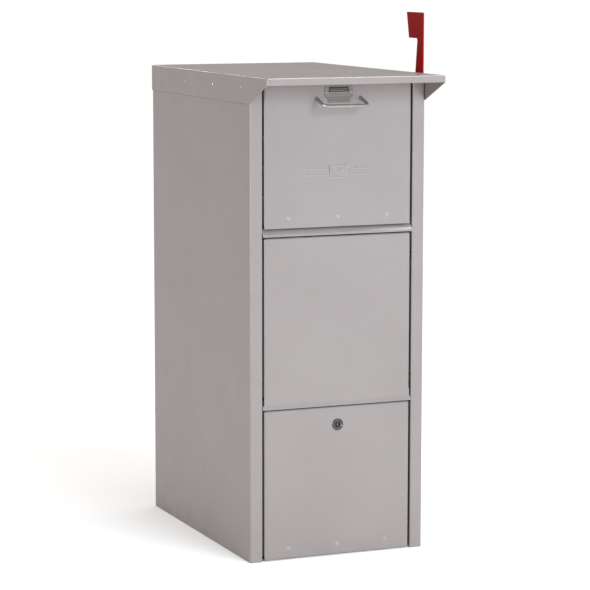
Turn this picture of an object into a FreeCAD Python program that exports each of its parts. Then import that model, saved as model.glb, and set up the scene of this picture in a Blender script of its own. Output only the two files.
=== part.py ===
import FreeCAD, Part
import math
import os
from FreeCAD import Vector

# Free-standing mail and parcel drop box, folded from sheet steel: a pull-down
# drop door at the top, a fixed panel, a locking collection door at the bottom
# and a signal flag on the right side.
# Millimetres. X right, Y from front to back, Z up. The origin is the centre of
# the four anchor holes, on the underside of the floor.

# ---- driving dimensions ----
BODY_WIDTH = 381.0            # 15 in over the side panels
BODY_DEPTH = 571.5            # 22.5 in, front face to back face
TOTAL_HEIGHT = 977.9          # 38.5 in, underside to roof top
SHEET = 1.6                   # cabinet sheet
DOOR_SHEET = 2.0              # door and middle panel sheet
ROOF_SHEET = 1.5
BEND = 2.0                    # inside radius of every fold

EAVE = 92.0                   # roof overhang in front of the doors
LIP = 14.0                    # drop of the roof's front lip
ROOF_FLANGE = 54.0            # drop of the roof's side and rear flanges

JAMB_WIDTH = 26.5             # front jamb, folded from the side panel
JAMB_RETURN = 14.5            # depth of the jamb's inner return
BACK_FLANGE = 15.0
DOOR_WIDTH = 320.0
PAN_DEPTH = 13.2              # depth of the folded door pans
TOP_DOOR_BOTTOM = 675.0
TOP_DOOR_TOP = 964.0
MIDDLE_BOTTOM = 311.0         # lower edge of the panel's drip lip
MIDDLE_TOP = 656.5
BOTTOM_DOOR_BOTTOM = 3.5
BOTTOM_DOOR_TOP = 308.5

HINGE_R = 2.6                 # knuckle radius
HINGE_PIN_R = 1.1
RUNNING_GAP = 0.05            # radial clearance of every turning fit
HINGE_LENGTH = 310.0
KNUCKLES = 11
LEAF = 1.2                    # hinge leaf thickness
LEAF_WIDTH = 28.0
HINGE_DEPTH = 5.0             # hinge axis behind the front face
HINGE_RISE = 2.6              # hinge axis above the door's lower edge
RIVET_RISE = 20.5             # door rivets above the door's lower edge
RIVET_PITCH = 107.5

TRAY_INNER = 38.0             # hopper tray, radii from the hinge axis
TRAY_OUTER = 200.0
TRAY_DROP = 60.0              # tray slope below horizontal with the door shut, degrees
TOP_DOOR_SWING = 50.0         # degrees
CHEEK_CLEAR = 36.0            # cheeks are cut away inside this radius

LOCK_HEIGHT = 271.0
LOCK_HEAD_R = 12.0
LOCK_BARREL_R = 9.4
LOCK_PLUG_R = 6.0
LOCK_BARREL_END = 18.0
CAM_REACH = 34.0
CAM_SHEET = 2.6

HANDLE_CENTRES = 96.0
HANDLE_R = 3.5                # wire radius
HANDLE_HEIGHT = 931.5
HANDLE_REACH = 40.0
HANDLE_DROP = 13.0            # the bar hangs this far below its feet

ANCHOR_X = 254.0              # anchor holes, centre to centre
ANCHOR_Y = 406.4
ANCHOR_R = 7.0

FLAG_SHEET = 3.0
FLAG_STAND = 6.5              # gap between side panel and flag
FLAG_PIVOT_DEPTH = 52.0       # pivot behind the front face
FLAG_PIVOT_HEIGHT = 889.5
FLAG_EDGE = 10.0              # pivot to the flag's back edge
FLAG_PIN_R = 3.0
STOP_PIN_R = 4.0

# ---- derived places ----
HALF = BODY_WIDTH / 2
FRONT = -BODY_DEPTH / 2
BACK = BODY_DEPTH / 2
DOOR_HALF = DOOR_WIDTH / 2
JAMB_EDGE = HALF - JAMB_WIDTH
INSIDE = HALF - SHEET - 0.5   # half width of the cross members
ROOF_UNDER = TOTAL_HEIGHT - ROOF_SHEET
CROSS_FRONT = 16.0            # front face of the cross members, behind the jamb returns
SLIT = 0.3                    # gap between parts that pass each other
TOP_AXIS = TOP_DOOR_BOTTOM + HINGE_RISE
BOTTOM_AXIS = BOTTOM_DOOR_BOTTOM + HINGE_RISE
HINGE_Y = FRONT + HINGE_DEPTH
AXIS_X = Vector(1, 0, 0)
AXIS_Y = Vector(0, 1, 0)
AXIS_Z = Vector(0, 0, 1)

parts = {}


# ---- shared shapes ----
def box(x0, x1, y0, y1, z0, z1):
    return Part.makeBox(x1 - x0, y1 - y0, z1 - z0, Vector(x0, y0, z0))


def rod(start, axis, radius, length):
    return Part.makeCylinder(radius, length, start, axis)


def rounded_wire(points, radii):
    """Closed wire through the points, each corner rounded to its radius."""
    edges = []
    ends = []
    count = len(points)
    for i in range(count):
        corner = points[i]
        back = (points[i - 1] - corner).normalize()
        ahead = (points[(i + 1) % count] - corner).normalize()
        if radii[i] <= 0:
            ends.append((corner, corner))
            continue
        half_angle = back.getAngle(ahead) / 2
        run = radii[i] / math.tan(half_angle)
        middle = (back + ahead).normalize()
        reach = radii[i] / math.sin(half_angle) - radii[i]
        first = corner + back * run
        last = corner + ahead * run
        edges.append(Part.Arc(first, corner + middle * reach, last).toShape())
        ends.append((first, last))
    for i in range(count):
        start = ends[i][1]
        stop = ends[(i + 1) % count][0]
        if start.distanceToPoint(stop) > 1e-6:
            edges.append(Part.LineSegment(start, stop).toShape())
    return Part.Wire(Part.__sortEdges__(edges))


def strip_outline(path, thickness, bend=BEND):
    """Outline of a folded strip; the thickness lies left of the path."""
    count = len(path)
    run = [(path[i + 1] - path[i]).normalize() for i in range(count - 1)]
    left = [Vector(-r.y, r.x, 0) for r in run]
    inner = []
    outer_radii = []
    inner_radii = []
    for i in range(count):
        if i in (0, count - 1):
            side = left[0] if i == 0 else left[-1]
            inner.append(path[i] + side * thickness)
            outer_radii.append(0)
            inner_radii.append(0)
            continue
        mitre = left[i - 1] + left[i]
        inner.append(path[i] + mitre * (thickness / (1 + left[i - 1].dot(left[i]))))
        turns_left = run[i - 1].cross(run[i]).z > 0
        outer_radii.append(bend + thickness if turns_left else bend)
        inner_radii.append(bend if turns_left else bend + thickness)
    return list(path) + inner[::-1], outer_radii + inner_radii[::-1]


def folded_upright(path, thickness, z0, z1):
    """Strip folded in plan and drawn up from z0 to z1."""
    points, radii = strip_outline([Vector(x, y, 0) for x, y in path], thickness)
    face = Part.Face(rounded_wire(points, radii))
    face.translate(Vector(0, 0, z0))
    return face.extrude(Vector(0, 0, z1 - z0))


def folded_across(path, thickness, x0, x1, bend=BEND):
    """Strip folded in side view, as (depth behind the front, height), from x0 to x1."""
    points, radii = strip_outline([Vector(FRONT + y, z, 0) for y, z in path], thickness, bend)
    points = [Vector(x0, p.x, p.y) for p in points]
    return Part.Face(rounded_wire(points, radii)).extrude(Vector(x1 - x0, 0, 0))


def plate_side(outline, x0, x1, radii=None):
    """Flat plate in side view, its outline as (y, z)."""
    points = [Vector(x0, y, z) for y, z in outline]
    wire = rounded_wire(points, radii or [0] * len(points))
    return Part.Face(wire).extrude(Vector(x1 - x0, 0, 0))


def mirrored(shape):
    return shape.mirror(Vector(0, 0, 0), AXIS_X)


def fillet_where(shape, radius, chosen):
    return shape.makeFillet(radius, [e for e in shape.Edges if chosen(e)])


def at_hinge(shape, axis_height, degrees):
    """Turn a shape about a door's hinge axis; positive opens."""
    turned = shape.copy()
    turned.rotate(Vector(0, HINGE_Y, axis_height), AXIS_X, degrees)
    return turned


def rivet(head, axis, head_r, shank_r, grip, tail_r=0.0):
    """Dome rivet: head centre on the outer face, axis pointing inwards."""
    rise = 0.42 * head_r
    ball_r = (head_r ** 2 + rise ** 2) / (2 * rise)
    half_turn = math.asin(head_r / ball_r) / 2
    crown = Vector(0, 0, -rise)
    shoulder = Vector(ball_r * math.sin(half_turn), 0, ball_r * (1 - math.cos(half_turn)) - rise)
    rim = Vector(head_r, 0, 0)
    end = Vector(shank_r, 0, grip)
    outline = [rim, Vector(shank_r, 0, 0), end]
    if tail_r:
        outline += [Vector(tail_r, 0, grip), Vector(tail_r, 0, grip + 0.9)]
    outline += [Vector(0, 0, outline[-1].z), crown]
    edges = [Part.Arc(crown, shoulder, rim).toShape()]
    edges += Part.makePolygon(outline).Edges
    turned = Part.Face(Part.Wire(edges)).revolve(Vector(0, 0, 0), AXIS_Z, 360)
    turned.Placement = FreeCAD.Placement(head, FreeCAD.Rotation(AXIS_Z, axis))
    return Part.Solid(turned.Shells[0]) if turned.ShapeType != "Solid" else turned


def hexagon(centre, axis, across_flats, length, hole_r):
    """Hexagon nut with a plain bore."""
    first = Vector(0, 0, 1)
    second = axis.cross(first)
    reach = across_flats / math.sqrt(3)
    corners = []
    for i in range(6):
        turn = math.radians(60 * i)
        corners.append(centre + first * (reach * math.cos(turn)) + second * (reach * math.sin(turn)))
    nut = Part.Face(Part.makePolygon(corners + corners[:1])).extrude(axis * length)
    return nut.cut(rod(centre - axis, axis, hole_r, length + 2))


def put(name, shape):
    parts[name] = shape


def group(shapes):
    return Part.makeCompound(shapes)


# ---- side panels: side wall, front jamb, jamb return and back flange in one sheet ----
side_path = [(JAMB_EDGE, FRONT + JAMB_RETURN), (JAMB_EDGE, FRONT), (HALF, FRONT), (HALF, BACK)]
side_path.append((HALF - BACK_FLANGE, BACK))
SIDE_TOP = ROOF_UNDER - 2.0
right_side = folded_upright(side_path, SHEET, 0, SIDE_TOP)
left_side = mirrored(right_side)

# ---- roof rivets: four along each side flange ----
RIVET_HEAD_R = 4.2
RIVET_SHANK_R = 2.0
ROOF_RIVET_FIRST = 46.0
ROOF_RIVET_PITCH = 158.0
ROOF_RIVET_HEIGHT = TOTAL_HEIGHT - 24.5
roof_rivets = []
roof_rivet_holes = []
for i in range(4):
    start = Vector(HALF + ROOF_SHEET, FRONT + ROOF_RIVET_FIRST + i * ROOF_RIVET_PITCH, ROOF_RIVET_HEIGHT)
    roof_rivets.append(rivet(start, -AXIS_X, RIVET_HEAD_R, RIVET_SHANK_R, ROOF_SHEET + SHEET, 3.0))
    roof_rivet_holes.append(rod(start, -AXIS_X, RIVET_SHANK_R, ROOF_SHEET + SHEET))
right_side = right_side.cut(group(roof_rivet_holes))
left_side = left_side.cut(group([mirrored(h) for h in roof_rivet_holes]))

# ---- back rivets: five up each back flange ----
BACK_SHEET_FACE = BACK - SHEET
BACK_RIVET_HEAD_R = 3.4
BACK_RIVET_SHANK_R = 1.7
BACK_RIVET_FIRST = 70.0
BACK_RIVET_PITCH = 195.0
back_rivets = []
back_rivet_holes = []
for side in (-1, 1):
    for i in range(5):
        start = Vector(side * (HALF - BACK_FLANGE / 2), BACK, BACK_RIVET_FIRST + i * BACK_RIVET_PITCH)
        back_rivets.append(rivet(start, -AXIS_Y, BACK_RIVET_HEAD_R, BACK_RIVET_SHANK_R, 2 * SHEET, 2.6))
        back_rivet_holes.append(rod(start, -AXIS_Y, BACK_RIVET_SHANK_R, 2 * SHEET))
back_holes = group(back_rivet_holes)
right_side = right_side.cut(back_holes)
left_side = left_side.cut(back_holes)

back_panel = box(BEND - INSIDE, INSIDE - BEND, BACK_SHEET_FACE - SHEET, BACK_SHEET_FACE, SHEET, SIDE_TOP)
put("back_panel", back_panel.cut(back_holes))
put("back_rivets", group(back_rivets))

# ---- flag pivot and stop pin, on the right side panel ----
PIVOT_Y = FRONT + FLAG_PIVOT_DEPTH
STOP_OFFSET = FLAG_EDGE + SLIT + STOP_PIN_R
FLAG_INNER = HALF + FLAG_STAND
FLAG_OUTER = FLAG_INNER + FLAG_SHEET
WASHER = 1.0
pivot_start = Vector(HALF - 9.0, PIVOT_Y, FLAG_PIVOT_HEIGHT)
stop_start = Vector(HALF - SHEET, PIVOT_Y + STOP_OFFSET, FLAG_PIVOT_HEIGHT - STOP_OFFSET)
right_side = right_side.cut(rod(pivot_start, AXIS_X, FLAG_PIN_R, 20.0))
right_side = right_side.cut(rod(stop_start, AXIS_X, STOP_PIN_R, 20.0))
put("left_side_panel", left_side)
put("right_side_panel", right_side)

head_start = FLAG_OUTER + 0.2 + WASHER
bolt = rod(pivot_start, AXIS_X, FLAG_PIN_R, head_start - pivot_start.x)
bolt_head = rod(Vector(head_start, PIVOT_Y, FLAG_PIVOT_HEIGHT), AXIS_X, 6.5, 3.6)
bolt_head = fillet_where(bolt_head, 2.4, lambda e: e.BoundBox.XMin > head_start + 3.5)
socket = hexagon(Vector(head_start + 1.6, PIVOT_Y, FLAG_PIVOT_HEIGHT), AXIS_X, 4.0, 3.0, 0.01)
put("flag_pivot_bolt", bolt.fuse(bolt_head).cut(socket).removeSplitter())

spacer = rod(Vector(HALF, PIVOT_Y, FLAG_PIVOT_HEIGHT), AXIS_X, 8.0, FLAG_STAND - 0.2)
put("flag_spacer", spacer.cut(rod(pivot_start, AXIS_X, FLAG_PIN_R, 40.0)))
washer = rod(Vector(FLAG_OUTER + 0.2, PIVOT_Y, FLAG_PIVOT_HEIGHT), AXIS_X, 8.5, WASHER)
put("flag_washer", washer.cut(rod(pivot_start, AXIS_X, FLAG_PIN_R, 40.0)))
nut_centre = Vector(HALF - SHEET - 5.0, PIVOT_Y, FLAG_PIVOT_HEIGHT)
put("flag_nut", hexagon(nut_centre, AXIS_X, 10.0, 5.0, FLAG_PIN_R))
stop_pin = rod(stop_start, AXIS_X, STOP_PIN_R, FLAG_OUTER + 1.0 - stop_start.x)
stop_head = rod(Vector(FLAG_OUTER + 1.0, stop_start.y, stop_start.z), AXIS_X, STOP_PIN_R + 1.6, 1.8)
stop_head = fillet_where(stop_head, 0.8, lambda e: e.BoundBox.XMin > FLAG_OUTER + 2.7)
put("flag_stop_pin", stop_pin.fuse(stop_head))

# ---- signal flag: head, tapering arm and tail, cut from one plate ----
FLAG_FRONT = FRONT + 26.0
FLAG_TAIL = FLAG_PIVOT_HEIGHT - 22.0
FLAG_TOP = 1099.0
HEAD_LOW = 1046.5
BUSH_R = 5.0
tail_back = PIVOT_Y + FLAG_EDGE
flag_outline = [
    (FLAG_FRONT, FLAG_TAIL),
    (tail_back, FLAG_TAIL),
    (tail_back, 960.0),
    (FRONT + 51.5, HEAD_LOW - 4.0),
    (FRONT + 54.0, HEAD_LOW),
    (FRONT + 91.0, HEAD_LOW),
    (FRONT + 102.0, FLAG_TOP),
    (FLAG_FRONT, FLAG_TOP),
]
flag = plate_side(flag_outline, FLAG_INNER, FLAG_OUTER, [12, 3, 0, 1.5, 1.5, 2, 2, 2])
flag = fillet_where(flag, 0.8, lambda e: e.BoundBox.XLength < 0.01 and e.BoundBox.DiagonalLength > 20)
put("signal_flag", flag.cut(rod(pivot_start, AXIS_X, BUSH_R, 40.0)))
bush = rod(Vector(FLAG_INNER, PIVOT_Y, FLAG_PIVOT_HEIGHT), AXIS_X, BUSH_R, FLAG_SHEET)
put("flag_bush", bush.cut(rod(pivot_start, AXIS_X, FLAG_PIN_R + RUNNING_GAP, 40.0)))

# ---- roof hood: flat top, side and rear flanges, short front lip, tapered eave ends ----
ROOF_BEND = 3.0


def roof_block(inset):
    low = TOTAL_HEIGHT - ROOF_FLANGE - inset
    side = HALF + ROOF_SHEET - inset
    block = box(-side, side, FRONT - EAVE + inset, BACK + ROOF_SHEET - inset, low, TOTAL_HEIGHT - inset)

    def outer_edge(e):
        return e.BoundBox.ZMax > low + 1

    return fillet_where(block, ROOF_BEND - inset, outer_edge)


roof = roof_block(0).cut(roof_block(ROOF_SHEET))
taper = [
    (FRONT, TOTAL_HEIGHT - ROOF_FLANGE),
    (FRONT - EAVE, TOTAL_HEIGHT - LIP),
    (FRONT - EAVE - 5, TOTAL_HEIGHT - LIP),
    (FRONT - EAVE - 5, TOTAL_HEIGHT - ROOF_FLANGE - 5),
    (FRONT, TOTAL_HEIGHT - ROOF_FLANGE - 5),
]
roof = roof.cut(plate_side(taper, -HALF - 10, HALF + 10))
roof = roof.cut(group(roof_rivet_holes + [mirrored(h) for h in roof_rivet_holes]))
put("roof_hood", roof)
put("roof_rivets_right", group(roof_rivets))
put("roof_rivets_left", group([mirrored(r) for r in roof_rivets]))

# ---- floor panel: tray with three upturned edges and four anchor holes ----
FLOOR_BACK = BACK - 2 * SHEET - 0.2
FLOOR_EDGE = 15.0
floor = box(-INSIDE, INSIDE, FRONT + CROSS_FRONT, FLOOR_BACK, 0, SHEET)
floor = floor.fuse(box(-JAMB_EDGE + 0.5, JAMB_EDGE - 0.5, FRONT + 10.5, FRONT + CROSS_FRONT, 0, SHEET))
floor = floor.fuse(box(-INSIDE, INSIDE, FLOOR_BACK - SHEET, FLOOR_BACK, 0, FLOOR_EDGE))
for side in (-1, 1):
    inner = side * (INSIDE - SHEET)
    outer = side * INSIDE
    floor = floor.fuse(box(min(inner, outer), max(inner, outer), FRONT + CROSS_FRONT, FLOOR_BACK, 0, FLOOR_EDGE))
for x in (-ANCHOR_X / 2, ANCHOR_X / 2):
    for y in (-ANCHOR_Y / 2, ANCHOR_Y / 2):
        floor = floor.cut(rod(Vector(x, y, -1), AXIS_Z, ANCHOR_R, 5.0))

# ---- cross members between the side panels ----
LEAF_SEAT = HINGE_RISE - HINGE_R     # leaf underside relative to the door's lower edge
shelf = TOP_DOOR_BOTTOM + LEAF_SEAT
rail_path = [(34.0, shelf - 12.0), (34.0, shelf), (10.5, shelf), (-3.5, shelf - 12.5), (-3.5, shelf - 16.0)]
RAIL_HALF = JAMB_EDGE - 0.2
rail = folded_across(rail_path, SHEET, -RAIL_HALF, RAIL_HALF)
for side in (-1, 1):
    tab = box(RAIL_HALF - SHEET, RAIL_HALF, FRONT + 10.0, FRONT + 31.0, shelf - 24.0, shelf - SHEET)
    rail = rail.fuse(tab if side > 0 else mirrored(tab))

STRIKE_LOW = 296.0
STRIKE_HIGH = 330.0
strike_path = [(42.0, STRIKE_HIGH), (CROSS_FRONT, STRIKE_HIGH), (CROSS_FRONT, STRIKE_LOW)]
put("strike_bar", folded_across(strike_path, SHEET, -INSIDE, INSIDE))

HEADER_LOW = 938.0
header_path = [(41.0, ROOF_UNDER), (CROSS_FRONT, ROOF_UNDER), (CROSS_FRONT, HEADER_LOW)]
header_path.append((CROSS_FRONT + 14.0, HEADER_LOW))
put("header_channel", folded_across(header_path, SHEET, -INSIDE, INSIDE))

THRESHOLD_TOP = BOTTOM_DOOR_BOTTOM + LEAF_SEAT
threshold = box(-RAIL_HALF, RAIL_HALF, FRONT + 10.5, FRONT + 36.0, SHEET, THRESHOLD_TOP)
threshold = fillet_where(threshold, 0.8, lambda e: e.BoundBox.ZMin > THRESHOLD_TOP - 0.1)

# ---- rubber bumpers that the shut doors rest on ----
BUMPER = 2.4


def bumpers(height, radius):
    made = []
    for x in (-120.0, 120.0):
        face = FRONT + CROSS_FRONT
        pad = rod(Vector(x, face - BUMPER, height), AXIS_Y, radius, BUMPER)
        made.append(fillet_where(pad, 1.0, lambda e: e.BoundBox.YMax < face - BUMPER + 0.1))
    return group(made)


put("top_door_bumpers", bumpers(TOP_DOOR_TOP - 3.0, 6.0))
put("bottom_door_bumpers", bumpers(BOTTOM_DOOR_TOP - 3.5, 5.5))

# ---- rear baffle: sloping sheet that stops a hand reaching down to the mail ----
BAFFLE_FRONT = 245.0
BAFFLE_LOW = 702.0
BAFFLE_HIGH = 870.0
BAFFLE_EDGE = 14.0            # turned down at the front
WING = 20.0                   # turned down at each side
baffle_end = BACK_SHEET_FACE - SHEET - FRONT
baffle_path = [(BAFFLE_FRONT, BAFFLE_LOW - BAFFLE_EDGE), (BAFFLE_FRONT, BAFFLE_LOW), (baffle_end, BAFFLE_HIGH)]
baffle = folded_across(baffle_path, SHEET, -INSIDE, INSIDE)
baffle_run = baffle_end - BAFFLE_FRONT
baffle_rise = (BAFFLE_HIGH - BAFFLE_LOW) / baffle_run
wing_outline = []
for reach, drop in ((6.0, WING), (6.0, 0.0), (baffle_run - 6.0, 0.0), (baffle_run - 6.0, WING)):
    wing_outline.append((FRONT + BAFFLE_FRONT + reach, BAFFLE_LOW + 0.5 + baffle_rise * reach - drop))
wing = plate_side(wing_outline, INSIDE - SHEET, INSIDE)
put("rear_baffle", baffle.fuse(wing).fuse(mirrored(wing)))

# ---- continuous hinges: leaves with interleaved knuckles, and their pins ----
PITCH = HINGE_LENGTH / KNUCKLES
HINGE_GAP = 0.4               # leaf edge to the other leaf's knuckles


def knuckle_span(index):
    x0 = -HINGE_LENGTH / 2 + index * PITCH + SLIT / 2
    return x0, x0 + PITCH - SLIT


def knuckle(index, axis_height):
    x0, x1 = knuckle_span(index)
    return rod(Vector(x0, HINGE_Y, axis_height), AXIS_X, HINGE_R, x1 - x0)


def hinge_bore(axis_height):
    start = Vector(-HINGE_LENGTH, HINGE_Y, axis_height)
    return rod(start, AXIS_X, HINGE_PIN_R + RUNNING_GAP, 2 * HINGE_LENGTH)


def frame_leaf(axis_height, holes):
    low = axis_height - HINGE_R
    edge = HINGE_Y + HINGE_R + HINGE_GAP
    leaf = box(-HINGE_LENGTH / 2, HINGE_LENGTH / 2, edge, HINGE_Y + LEAF_WIDTH - 2, low, low + LEAF)
    for index in range(0, KNUCKLES, 2):
        x0, x1 = knuckle_span(index)
        leaf = leaf.fuse(box(x0, x1, HINGE_Y, edge + 1, low, low + LEAF))
        leaf = leaf.fuse(knuckle(index, axis_height))
    return leaf.cut(hinge_bore(axis_height)).cut(holes).removeSplitter()


def door_leaf(axis_height, holes):
    near = FRONT + DOOR_SHEET
    edge = axis_height + HINGE_R + HINGE_GAP
    leaf = box(-HINGE_LENGTH / 2, HINGE_LENGTH / 2, near, near + LEAF, edge, axis_height + LEAF_WIDTH)
    for index in range(1, KNUCKLES, 2):
        x0, x1 = knuckle_span(index)
        leaf = leaf.fuse(box(x0, x1, near, near + LEAF, axis_height, edge + 1))
        leaf = leaf.fuse(knuckle(index, axis_height))
    return leaf.cut(hinge_bore(axis_height)).cut(holes).removeSplitter()


def door_rivets(door_bottom):
    """Three rivets through the door face and the hinge leaf, and their holes."""
    made = []
    holes = []
    for i in (-1, 0, 1):
        start = Vector(i * RIVET_PITCH, FRONT, door_bottom + RIVET_RISE)
        made.append(rivet(start, AXIS_Y, RIVET_HEAD_R, RIVET_SHANK_R, DOOR_SHEET + LEAF, 3.2))
        holes.append(rod(start, AXIS_Y, RIVET_SHANK_R, DOOR_SHEET + LEAF))
    return group(made), group(holes)


def leaf_rivets(leaf_low, grip):
    """Three rivets that hold a frame leaf down, and their holes."""
    made = []
    holes = []
    for i in (-1, 0, 1):
        start = Vector(i * RIVET_PITCH, FRONT + 23.0, leaf_low + LEAF)
        made.append(rivet(start, -AXIS_Z, 3.2, 1.8, grip + LEAF))
        holes.append(rod(start, -AXIS_Z, 1.8, grip + LEAF))
    return group(made), group(holes)


def hinge_set(name, axis_height, door_holes, grip):
    """Both leaves, the pin and the frame rivets of one hinge; returns the frame holes."""
    rivets, holes = leaf_rivets(axis_height - HINGE_R, grip)
    put(name + "_hinge_frame_leaf", frame_leaf(axis_height, holes))
    put(name + "_hinge_door_leaf", door_leaf(axis_height, door_holes))
    pin_start = Vector(-HINGE_LENGTH / 2, HINGE_Y, axis_height)
    put(name + "_hinge_pin", rod(pin_start, AXIS_X, HINGE_PIN_R, HINGE_LENGTH))
    put(name + "_leaf_rivets", rivets)
    return holes


top_rivets, top_rivet_holes = door_rivets(TOP_DOOR_BOTTOM)
bottom_rivets, bottom_rivet_holes = door_rivets(BOTTOM_DOOR_BOTTOM)
put("top_door_rivets", top_rivets)
put("bottom_door_rivets", bottom_rivets)
put("hinge_rail", rail.cut(hinge_set("top", TOP_AXIS, top_rivet_holes, SHEET)))
floor_holes = hinge_set("bottom", BOTTOM_AXIS, bottom_rivet_holes, THRESHOLD_TOP)
put("door_threshold", threshold.cut(floor_holes))
put("floor_panel", floor.cut(floor_holes))

# ---- door pans and the fixed middle panel: folded edges round a flat face ----
PAN_BEND = 3.6                # outside radius of the pans' folded edges


def pan(z0, z1, depth, open_bottom):
    """Pan with its face at the front; an open bottom leaves out the lower edge."""

    def block(inset):
        low = z0 - (5 if open_bottom else -inset)
        shape = box(-DOOR_HALF + inset, DOOR_HALF - inset, FRONT + inset, FRONT + depth + 5, low, z1 - inset)

        def folded(e):
            b = e.BoundBox
            at_face = b.YMax < FRONT + inset + 0.1
            corner = b.YLength > 5
            return (at_face or corner) and b.ZMax > low + 0.1

        return fillet_where(shape, PAN_BEND - inset, folded)

    trimmed = block(0).cut(block(DOOR_SHEET))
    return trimmed.common(box(-HALF, HALF, FRONT - 1, FRONT + depth, z0, z1))


def without_lower_flange(shape, axis_height):
    """Side edges end above the hinge, so that they clear the frame as the door drops."""
    notch = box(-HALF, HALF, FRONT + DOOR_SHEET + 0.01, FRONT + 40, axis_height - 10, axis_height + 5)
    return shape.cut(notch)


top_door = without_lower_flange(pan(TOP_DOOR_BOTTOM, TOP_DOOR_TOP, PAN_DEPTH, True), TOP_AXIS)
bottom_door = pan(BOTTOM_DOOR_BOTTOM, BOTTOM_DOOR_TOP, PAN_DEPTH - SHEET, True)
bottom_door = without_lower_flange(bottom_door, BOTTOM_AXIS)

# ---- fixed middle panel: a pan whose lower edge flares out into a drip lip ----
LIP_ROOT = MIDDLE_BOTTOM + 26.0
LIP_FOLD = MIDDLE_BOTTOM + 9.0       # where the lip starts to flare
LIP_REACH = 2.2                      # how far the lip's edge stands out
LIP_WIDE = MIDDLE_BOTTOM + 6.0       # below this the lip covers the gaps beside the panel
lip_path = [(0.0, LIP_ROOT), (0.0, LIP_FOLD), (-LIP_REACH, MIDDLE_BOTTOM)]
drip_lip = folded_across(lip_path, DOOR_SHEET, -RAIL_HALF, RAIL_HALF, 14.0)
lip_ends = [box(DOOR_HALF, RAIL_HALF + 1, FRONT - 3, FRONT + 3, LIP_WIDE, LIP_ROOT + 1)]
lip_ends.append(mirrored(lip_ends[0]))
middle = pan(LIP_ROOT, MIDDLE_TOP, PAN_DEPTH, True).fuse(drip_lip.cut(group(lip_ends)))
middle = middle.removeSplitter()

# ---- middle panel spacers and screws, into the jamb returns ----
SCREW_R = 2.0
SCREW_LENGTH = 12.0
SCREW_DEPTH = 8.0             # screw axis behind the front face
SCREW_HEIGHTS = (370.0, 610.0)
spacers = []
screws = []
screw_holes = []
for z in SCREW_HEIGHTS:
    centre = Vector(DOOR_HALF - DOOR_SHEET - 1.0, FRONT + SCREW_DEPTH, z)
    ring = rod(Vector(DOOR_HALF, FRONT + SCREW_DEPTH, z), AXIS_X, 4.5, JAMB_EDGE - DOOR_HALF)
    shank = rod(centre, AXIS_X, SCREW_R, SCREW_LENGTH)
    spacers.append(ring.cut(shank))
    screws.append(shank.fuse(rod(centre - AXIS_X * 2, AXIS_X, 3.8, 3.0)))
    screw_holes.append(shank)
both_holes = group(screw_holes + [mirrored(h) for h in screw_holes])
put("middle_panel_spacers", group(spacers + [mirrored(s) for s in spacers]))
put("middle_panel_screws", group(screws + [mirrored(s) for s in screws]))
put("middle_panel", middle.cut(both_holes))
parts["left_side_panel"] = parts["left_side_panel"].cut(both_holes)
parts["right_side_panel"] = parts["right_side_panel"].cut(both_holes)

# ---- raised sign on the drop door: an envelope between two pairs of bars ----
SIGN_HEIGHT = 786.0
SIGN_RISE = 0.9
STROKE = 3.0
ENVELOPE_W = 42.0
ENVELOPE_H = 26.0
BAR_LENGTH = 42.0


def raised(points, closed=False):
    """Raised stroke along a line of (x, height) points on the door face."""
    pieces = []
    last = len(points) if closed else len(points) - 1
    for i in range(last):
        x0, z0 = points[i]
        x1, z1 = points[(i + 1) % len(points)]
        length = math.hypot(x1 - x0, z1 - z0)
        bar = box(-STROKE / 2, length + STROKE / 2, FRONT - SIGN_RISE, FRONT + 0.5, -STROKE / 2, STROKE / 2)
        bar.rotate(Vector(0, 0, 0), AXIS_Y, -math.degrees(math.atan2(z1 - z0, x1 - x0)))
        bar.translate(Vector(x0, 0, SIGN_HEIGHT + z0))
        pieces.append(bar)
    return pieces


half_w = (ENVELOPE_W - STROKE) / 2
half_h = (ENVELOPE_H - STROKE) / 2
sign = raised([(-half_w, -half_h), (half_w, -half_h), (half_w, half_h), (-half_w, half_h)], True)
sign += raised([(-half_w, half_h), (0, -1.5), (half_w, half_h)])
for side in (-1, 1):
    near = side * (ENVELOPE_W / 2 + 11.5)
    far = near + side * (BAR_LENGTH - STROKE)
    for z in (-6.0, 6.0):
        sign += raised([(min(near, far), z), (max(near, far), z)])
for stroke in sign:
    top_door = top_door.fuse(stroke)

# ---- wire pull handle with threaded ends, and its nuts ----
HANDLE_HALF = HANDLE_CENTRES / 2
HANDLE_CORNER = 11.0
STUD_R = 2.0
slope = Vector(0, -HANDLE_REACH, -HANDLE_DROP).normalize()
foot = Vector(HANDLE_HALF, FRONT, HANDLE_HEIGHT)
bar_end = foot + Vector(0, -HANDLE_REACH, -HANDLE_DROP)
bow = HANDLE_CORNER * (1 - math.sqrt(0.5))


def other(point):
    return Vector(-point.x, point.y, point.z)


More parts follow.
